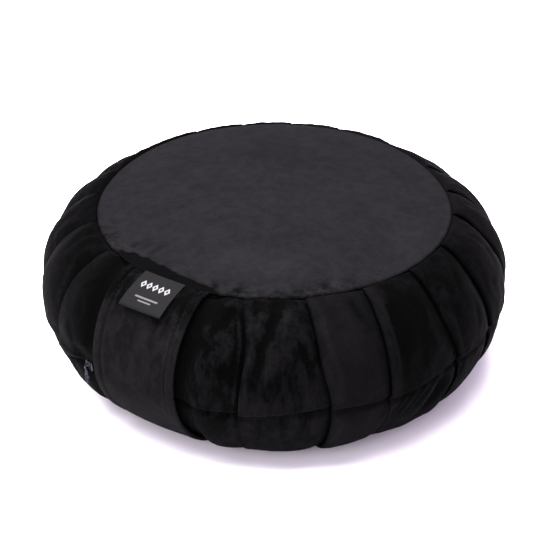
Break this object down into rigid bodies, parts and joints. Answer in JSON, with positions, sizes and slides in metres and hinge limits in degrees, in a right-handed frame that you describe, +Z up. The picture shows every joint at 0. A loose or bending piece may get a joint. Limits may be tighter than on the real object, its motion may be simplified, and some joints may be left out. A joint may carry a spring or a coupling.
{
  "type": "zafu meditation cushion",
  "caption": "Round hull-filled floor cushion in black velvet with a pleated wall, crowned top, zip seam and a wide carry strap.",
  "frame": {"origin": "centre of the flat base panel, on the floor", "axes": "+Z up through the middle of the cushion; -Y is the front, with the carry strap on the front's left"},
  "size_m": [0.3618, 0.3618, 0.1439],
  "materials": {
    "top_velvet": "black velvet, brushed grey sheen",
    "wall_velvet": "black crushed velvet",
    "strap_velvet": "black crushed velvet, hemmed",
    "woven_label": "dark grey woven satin, bare",
    "zip_metal": "dark nickel"
  },
  "bodies": {
    "root": {"top_panel": "top_velvet", "upper_wall": "wall_velvet", "lower_wall": "wall_velvet", "base_panel": "wall_velvet", "carry_strap": "strap_velvet", "label": "woven_label", "zip_slider": "zip_metal", "zip_pull": "zip_metal"}
  },
  "joints": []
}
